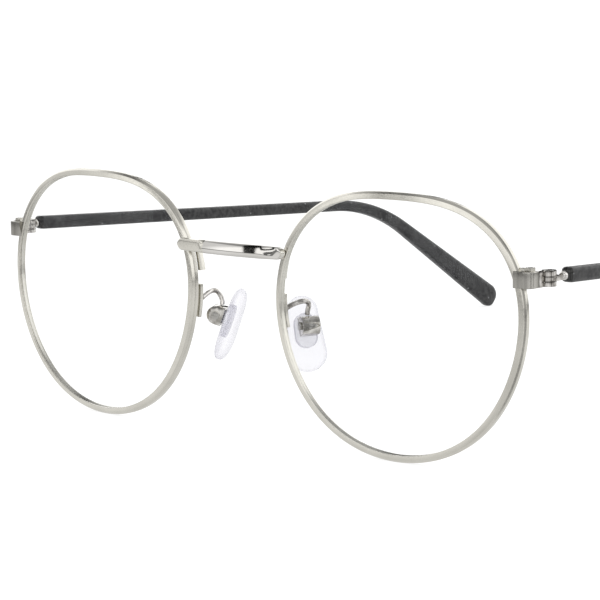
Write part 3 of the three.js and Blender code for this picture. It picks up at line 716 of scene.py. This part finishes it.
def sleeve_stations():
    """Top and bottom along the sleeve, with its share of the thickness and of the height."""
    top = bent_edge(SLEEVE_TOP)
    bottom = bent_edge(SLEEVE_BOTTOM)
    stations = []
    for along, share in SLEEVE_NOSE:
        stations.append((top[0] + [along, 0], bottom[0] + [along, 0], share, share))
    stations += [(high, low, 1.0, 1.0) for high, low in zip(top[1:], bottom[1:])]
    middle, half = (top[-1] + bottom[-1]) / 2, (top[-1] - bottom[-1]) / 2
    ahead = np.array([half[1], -half[0]]) / np.linalg.norm(half)
    for angle in np.linspace(*SLEEVE_TIP_SWEEP):
        place = middle + ahead * SLEEVE_TIP_REACH * math.sin(angle)
        rise = half * math.cos(angle) ** SLEEVE_TIP_HEIGHT
        stations.append((place + rise, place - rise, math.cos(angle) ** SLEEVE_TIP_THICKNESS, 1.0))
    return stations


def sleeve_rings():
    """Rounded sections along the sleeve."""
    rings = []
    for high, low, thick, tall in sleeve_stations():
        centre, up = (high + low) / 2, (high - low) / 2
        ring = []
        for angle in np.linspace(0, 2 * math.pi, SLEEVE_SIDES, endpoint=False):
            c, s = math.cos(angle), math.sin(angle)
            x = TEMPLE_THICKNESS / 2 * thick * math.copysign(abs(c) ** SLEEVE_ROUND, c)
            rise = tall * math.copysign(abs(s) ** SLEEVE_ROUND, s)
            ring.append((x, *(centre + up * rise)))
        rings.append(ring)
    return rings


def temple_points(points, name, side):
    """Points drawn along Y from the hinge axis, placed on their temple."""
    place = joint_place(f"temple_fold_{name}") * np.array([side, 1, 0])
    return mirror(turned(points, 0, TEMPLE_CONVERGE, place + np.array([TEMPLE_OFFSET, 0, 0])), side)


def make_sleeve(name, side):
    """Plastic temple and ear tip in one, polished at its mouth and flat where it rests on the floor."""
    upright, faces = loft(sleeve_rings())
    points = temple_points(upright, name, side)
    points[:, 2] = np.maximum(points[:, 2], 0)
    materials = ["temple_plastic", "mouth_plastic"]
    piece = make_piece(f"temple_tip_{name}", points, faces, materials, sharp=60)
    for polygon in piece.data.polygons:
        start = min(upright[corner][1] for corner in polygon.vertices)
        polygon.material_index = 1 if start < SLEEVE_START + SLEEVE_MOUTH else 0
    return seat(piece, f"temple_{name}", "temple_plastic", f"temple_sleeve_{name}")


def make_neck(name, side):
    """Round wire between the hinge and the sleeve, with its ring at the mouth of the sleeve."""
    slope = math.radians(SLEEVE_TOP["slope"])
    around = np.linspace(0, 2 * math.pi, NECK_SIDES, endpoint=False)
    rings = [
        [(r * math.cos(a), y, CORE_HEIGHT - y * math.tan(slope) + r * math.sin(a)) for a in around]
        for y, r in NECK_PROFILE
    ]
    upright, faces = loft(rings)
    points = temple_points(upright, name, side)
    piece = make_piece(f"temple_wire_{name}", points, faces, ["polished_metal"])
    nodes = [f"temple_core_{name}", f"temple_ferrule_{name}"]
    return seat(piece, f"temple_{name}", "polished_metal", *nodes)


# Nose pads ----------------------------------------------------------------------------------


def pear(share, top_radius, bottom_radius, length):
    """Point of a pear outline, small end up, at a share of the way round it."""
    top, bottom = length / 2 - top_radius, -length / 2 + bottom_radius
    flank = math.asin((bottom_radius - top_radius) / (top - bottom))
    line = (top - bottom) * math.cos(flank)
    lengths = [(math.pi + 2 * flank) * top_radius, line, (math.pi - 2 * flank) * bottom_radius, line]
    run = share * sum(lengths)
    if run < lengths[0]:
        a = -flank + run / top_radius
        return top_radius * math.cos(a), top + top_radius * math.sin(a)
    run -= lengths[0]
    left = math.pi + flank
    starts = np.array([top_radius * math.cos(left), top + top_radius * math.sin(left)])
    stops = np.array([bottom_radius * math.cos(left), bottom + bottom_radius * math.sin(left)])
    if run < lengths[1]:
        return tuple(starts + (stops - starts) * run / lengths[1])
    run -= lengths[1]
    if run < lengths[2]:
        a = left + run / bottom_radius
        return bottom_radius * math.cos(a), bottom + bottom_radius * math.sin(a)
    run -= lengths[2]
    flip = np.array([-1, 1])
    return tuple(stops * flip + (starts - stops) * flip * run / lengths[3])


def pad_points(points, name, side):
    """Points drawn in the frame of the rocking axis, placed on their pad."""
    place = joint_place(f"pad_rock_{name}") * np.array([side, 1, 1])
    return mirror(turned(points, PAD_LEAN, PAD_SPLAY, place), side)


def make_pad(name, side):
    """Crowned silicone pad with a pocket in its back for the hard core."""
    shares = np.linspace(0, 1, PAD_STEPS, endpoint=False)
    edge = np.array([pear(share, *PAD_OUTLINE) for share in shares])
    pocket = np.array([pear(share, *POCKET) for share in shares]) + [0, POCKET_RISE]
    half = PAD_THICKNESS / 2
    stations = []
    for angle in np.linspace(*PAD_FRONT_SWEEP):
        crown = half * math.cos(angle) ** PAD_FRONT_ROUND + PAD_CROWN * math.cos(angle)
        stations.append((edge * math.sin(angle) ** PAD_ROUND, -crown))
    for angle in np.linspace(*PAD_BACK_SWEEP)[1:]:
        back = half * abs(math.cos(angle)) ** PAD_BACK_ROUND
        stations.append((edge * math.sin(angle) ** PAD_ROUND, back))
    stations.append((pocket * POCKET_MOUTH, half))
    stations.append((pocket, half - POCKET_LIP))
    stations.append((pocket, half - POCKET_DEPTH))
    stations.append((pocket * POCKET_FLOOR, half - POCKET_DEPTH - POCKET_CORNER))
    rings = [[(PAD_CENTRE[0] + x, y, PAD_CENTRE[1] + z) for y, z in ring] for ring, x in stations]
    upright, faces = loft(rings)
    points = pad_points(upright, name, side)
    piece = make_piece(f"pad_{name}_silicone", points, faces, ["clear_pad"], sharp=60)
    seat(piece, f"pad_{name}", "clear_pad", f"nose_pad_{name}")
    return piece


def smooth_route(route, steps):
    """Points of a Catmull-Rom curve through a route."""
    route = np.array(route)
    padded_route = np.vstack([2 * route[0] - route[1], route, 2 * route[-1] - route[-2]])
    line = []
    for i in range(len(route) - 1):
        a, b, c, d = padded_route[i : i + 4]
        for t in np.linspace(0, 1, steps, endpoint=False):
            square = (2 * a - 5 * b + 4 * c - d) * t**2
            cube = (3 * b - a - 3 * c + d) * t**3
            line.append((2 * b + (c - a) * t + square + cube) / 2)
    line.append(route[-1])
    return np.array(line)


def arm_rings(route):
    """Rings of the arm's round wire along a route, with its ends slightly broken."""
    ahead = np.gradient(route, axis=0)
    ahead /= np.linalg.norm(ahead, axis=1)[:, None]
    across = np.cross(ahead[0], [0, 0, 1])
    rings = []
    for i, (point, forward) in enumerate(zip(route, ahead)):
        across = across - forward * (across @ forward)
        across /= np.linalg.norm(across)
        other = np.cross(forward, across)
        size = ARM_RADIUS * (ARM_END if i in (0, len(route) - 1) else 1)
        around = np.linspace(0, 2 * math.pi, ARM_SIDES, endpoint=False)
        rings.append([point + size * (math.cos(a) * across + math.sin(a) * other) for a in around])
    return rings


def make_arm(name, side):
    """Gooseneck wire from the plate behind the rim into the box of the pad."""
    route = smooth_route(ARM_ROUTE, 10) + [0, rims_front(), 0]
    points, faces = loft(arm_rings(route))
    # The wire takes the hinge metal, whose dark-to-light clouds paint mottled reflections.
    piece = make_piece(f"pad_arm_wire_{name}", mirror(points, side), faces, ["hinge_metal_painted_reflections"])
    return seat(piece, "front", "polished_metal", f"pad_arm_{name}")


# End pieces ---------------------------------------------------------------------------------


def block_rings(low, high, cut):
    """Rings of a box with every edge rounded."""
    levels = [
        (cut, low[2]),
        (cut * 0.3, low[2] + cut * 0.3),
        (0, low[2] + cut),
        (0, high[2] - cut),
        (cut * 0.3, high[2] - cut * 0.3),
        (cut, high[2]),
    ]
    rings = []
    for inset, z in levels:
        x0, y0, x1, y1 = low[0] + inset, low[1] + inset, high[0] - inset, high[1] - inset
        section = rounded([(x0, y0, cut), (x1, y0, cut), (x1, y1, cut), (x0, y1, cut)], 4)
        rings.append([(x, y, z) for x, y in section])
    return rings


def make_strap(name, side):
    """Flat strap across the front of the rim, bent back to the hinge, with softened edges."""
    low, high = (np.array(corner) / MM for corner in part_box(f"end_piece_{name}"))
    outer = max(abs(low[0]), abs(high[0]))
    across = STRAP_THICKNESS / 2
    centre = np.array([outer - STRAP_BEND, low[1] + STRAP_BEND])
    route = [(STRAP_START, low[1] + across, 0.0)]
    for a in np.linspace(0, math.pi / 2, 16):
        x, y = centre + (STRAP_BEND - across) * np.array([math.sin(a), -math.cos(a)])
        route.append((x, y, a))
    route.append((outer - across, high[1], math.pi / 2))
    middle, half = (low[2] + high[2]) / 2, (high[2] - low[2]) / 2
    section = rounded([
        (-across, -half, STRAP_ROUND),
        (across, -half, STRAP_ROUND),
        (across, half, STRAP_ROUND),
        (-across, half, STRAP_ROUND),
    ], 4)
    rings = [
        [(x + d * math.sin(a), y - d * math.cos(a), middle + z) for d, z in section]
        for x, y, a in route
    ]
    points, faces = loft(rings)
    piece = make_piece(f"strap_{name}", mirror(points, side), faces, ["strap_metal"], sharp=50)
    return seat(piece, "front", "satin_metal", f"end_piece_{name}")


def make_solder(name, side, half):
    """Seat of solder that joins one half of the closing block to the rim."""
    low, high = (np.array(corner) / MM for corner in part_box(f"closing_block_{half}_{name}"))
    inner = min(abs(low[0]), abs(high[0]))
    start = (inner - SEAT_REACH[half], *(low[1:] + SEAT_MARGIN_LOW))
    end = (inner + SEAT_OVERLAP, *(high[1:] - SEAT_MARGIN_HIGH))
    points, faces = loft(block_rings(start, end, SEAT_ROUND))
    points = mirror(points, side)
    piece = make_piece(f"closing_seat_{half}_{name}", points, faces, ["satin_metal"], sharp=50)
    return seat(piece, "front", "satin_metal")


# Stage --------------------------------------------------------------------------------------

# Camera: the fit to both rims and both temples in the photograph
VIEW_TARGET = (0.00957, -0.07017, 0.02522)
VIEW_AZIMUTH = math.radians(41.42)
VIEW_ELEVATION = math.radians(8.55)
VIEW_ROLL = math.radians(-0.78)
VIEW_DISTANCE = 0.4453
FOCAL_LENGTH = 149.24  # millimetres
FLOOR_SIZE = 60.0
STUDIO_LIGHT = 1.12
LAMP_PLACE = (0.25, -0.2, 1.1)
LAMP_SIZE = 0.9
LAMP_POWER = 3.0

# What polished metal sees, in degrees: azimuth from +Y towards +X, rise above the horizon,
# and lean towards +X. The slots are gaps between the wall panels that run over the ceiling,
# and slot_curve, in degrees for each square degree of rise, bends them.
REFLECTED = {
    "floor": 1.0,
    "bands": [  # rise from, to, softness, light added
        (-3.5, 0.5, 1.0, -0.75),
        (0.8, 40.0, 1.5, 0.5),
        (46.0, 90.0, 6.0, -0.45),
        (-90.0, -32.0, 8.0, -0.15),
    ],
    "gaps": [  # azimuth from, to, rise from, to, softness, light kept
        (98.0, 108.0, -60.0, 50.0, 2.5, 0.35),
        (60.0, 68.0, -60.0, 40.0, 3.0, 0.5),
        (-128.0, -98.0, 2.0, 60.0, 7.0, 0.6),
        (156.0, 179.0, -60.0, 60.0, 4.0, 0.82),
        (-179.0, -168.0, -60.0, 60.0, 4.0, 0.82),
        (50.0, 112.0, 8.0, 85.0, 6.0, 0.62),
    ],
    "slot_curve": 0.0011,
    "slots": [  # lean from, to, rise from, to, softness, light kept
        (-35.6, -32.0, 0.5, 85.0, 0.4, 0.02),
        (-28.5, -25.5, 0.5, 85.0, 0.6, 0.12),
    ],
}


def make_camera():
    """Camera at the photograph's angle."""
    data = bpy.data.cameras.new("camera")
    data.lens = FOCAL_LENGTH
    data.sensor_width = 36
    data.clip_start = 0.01
    data.clip_end = 200
    camera = bpy.data.objects.new("camera", data)
    bpy.context.scene.collection.objects.link(camera)
    turn = Matrix.Rotation(VIEW_AZIMUTH, 4, "Z") @ Matrix.Rotation(math.pi / 2 - VIEW_ELEVATION, 4, "X")
    turn = turn @ Matrix.Rotation(VIEW_ROLL, 4, "Z")
    back = Matrix.Translation((0, 0, VIEW_DISTANCE))
    camera.matrix_world = Matrix.Translation(VIEW_TARGET) @ turn @ back
    bpy.context.scene.camera = camera


def make_floor():
    """Plain light floor. Metal reflects the world's lower half in its place."""
    half = FLOOR_SIZE / 2
    mesh = bpy.data.meshes.new("floor")
    corners = [(-half, -half, 0), (half, -half, 0), (half, half, 0), (-half, half, 0)]
    mesh.from_pydata(corners, [], [(0, 1, 2, 3)])
    material, nodes, _ = new_material("floor")
    shader = nodes["Principled BSDF"]
    shader.inputs["Base Color"].default_value = (0.3, 0.3, 0.3, 1)
    shader.inputs["Emission Color"].default_value = (1, 1, 1, 1)
    shader.inputs["Emission Strength"].default_value = 0.8
    shader.inputs["Roughness"].default_value = 0.9
    shader.inputs["Specular IOR Level"].default_value = 0.0
    mesh.materials.append(material)
    floor = bpy.data.objects.new("floor", mesh)
    bpy.context.scene.collection.objects.link(floor)
    floor.visible_glossy = False


def between(nodes, links, value, low, high, soft):
    """1 where value is from low to high, falling to 0 over soft on each side."""
    past_low = math_node(nodes, links, "SUBTRACT", value, low - soft)
    short_of_high = math_node(nodes, links, "SUBTRACT", high + soft, value)
    rise = math_node(nodes, links, "DIVIDE", past_low, soft)
    fall = math_node(nodes, links, "DIVIDE", short_of_high, soft)
    lowest = math_node(nodes, links, "MINIMUM", rise, fall)
    return math_node(nodes, links, "MINIMUM", math_node(nodes, links, "MAXIMUM", lowest, 0.0), 1.0)


def make_world():
    """White studio. In reflections it carries bright and dim bands and darker gaps between panels."""
    world = bpy.data.worlds.new("studio")
    bpy.context.scene.world = world
    world.use_nodes = True
    nodes, links = world.node_tree.nodes, world.node_tree.links
    place = nodes.new("ShaderNodeTexCoord")
    parts = nodes.new("ShaderNodeSeparateXYZ")
    links.new(place.outputs["Generated"], parts.inputs["Vector"])
    x, y, z = (parts.outputs[k] for k in "XYZ")
    azimuth = math_node(nodes, links, "DEGREES", math_node(nodes, links, "ARCTAN2", x, y))
    rise = math_node(nodes, links, "DEGREES", math_node(nodes, links, "ARCSINE", z))
    lean = math_node(nodes, links, "DEGREES", math_node(nodes, links, "ARCSINE", x))
    squared = math_node(nodes, links, "MULTIPLY", rise, rise)
    lean = math_node(nodes, links, "MULTIPLY_ADD", squared, REFLECTED["slot_curve"], lean)
    shine = REFLECTED["floor"]
    for low, high, soft, level in REFLECTED["bands"]:
        band = between(nodes, links, rise, low, high, soft)
        shine = math_node(nodes, links, "MULTIPLY_ADD", band, level, shine)
    dark_places = [(azimuth, row) for row in REFLECTED["gaps"]]
    dark_places += [(lean, row) for row in REFLECTED["slots"]]
    for measure, (low, high, bottom, top, soft, level) in dark_places:
        across = between(nodes, links, measure, low, high, soft)
        upright = between(nodes, links, rise, bottom, top, soft)
        patch = math_node(nodes, links, "MULTIPLY", across, upright)
        dimmed = math_node(nodes, links, "MULTIPLY_ADD", patch, level - 1.0, 1.0)
        shine = math_node(nodes, links, "MULTIPLY", shine, dimmed)
    path = nodes.new("ShaderNodeLightPath")
    glossy = path.outputs["Is Glossy Ray"]
    steady = math_node(nodes, links, "MULTIPLY_ADD", glossy, -STUDIO_LIGHT, STUDIO_LIGHT)
    strength = math_node(nodes, links, "MULTIPLY_ADD", shine, glossy, steady)
    background = nodes["Background"]
    background.inputs["Color"].default_value = (1, 1, 1, 1)
    links.new(strength, background.inputs["Strength"])


def make_light():
    """Soft light from above."""
    data = bpy.data.lights.new("overhead", "AREA")
    data.energy = LAMP_POWER
    data.size = LAMP_SIZE
    light = bpy.data.objects.new("overhead", data)
    light.location = LAMP_PLACE
    light.visible_glossy = False
    bpy.context.scene.collection.objects.link(light)


# The eyeglasses -----------------------------------------------------------------------------

make_bridge()
for side_name, side_sign in SIDES:
    make_rim(side_name, side_sign)
    make_lens(side_name, side_sign)
    make_foot(side_name, side_sign)
    make_sleeve(side_name, side_sign)
    make_neck(side_name, side_sign)
    make_pad(side_name, side_sign)
    make_arm(side_name, side_sign)
    make_strap(side_name, side_sign)
    make_solder(side_name, side_sign, "upper")
    make_solder(side_name, side_sign, "lower")
    for node, (slot, body, bevel, material) in MACHINED.items():
        rides_on = body if body == "front" else f"{body}_{side_name}"
        refined(f"{node}_{side_name}", slot, rides_on, bevel, material)

make_floor()
make_camera()
make_light()
make_world()
bpy.context.scene.view_settings.view_transform = "Standard"
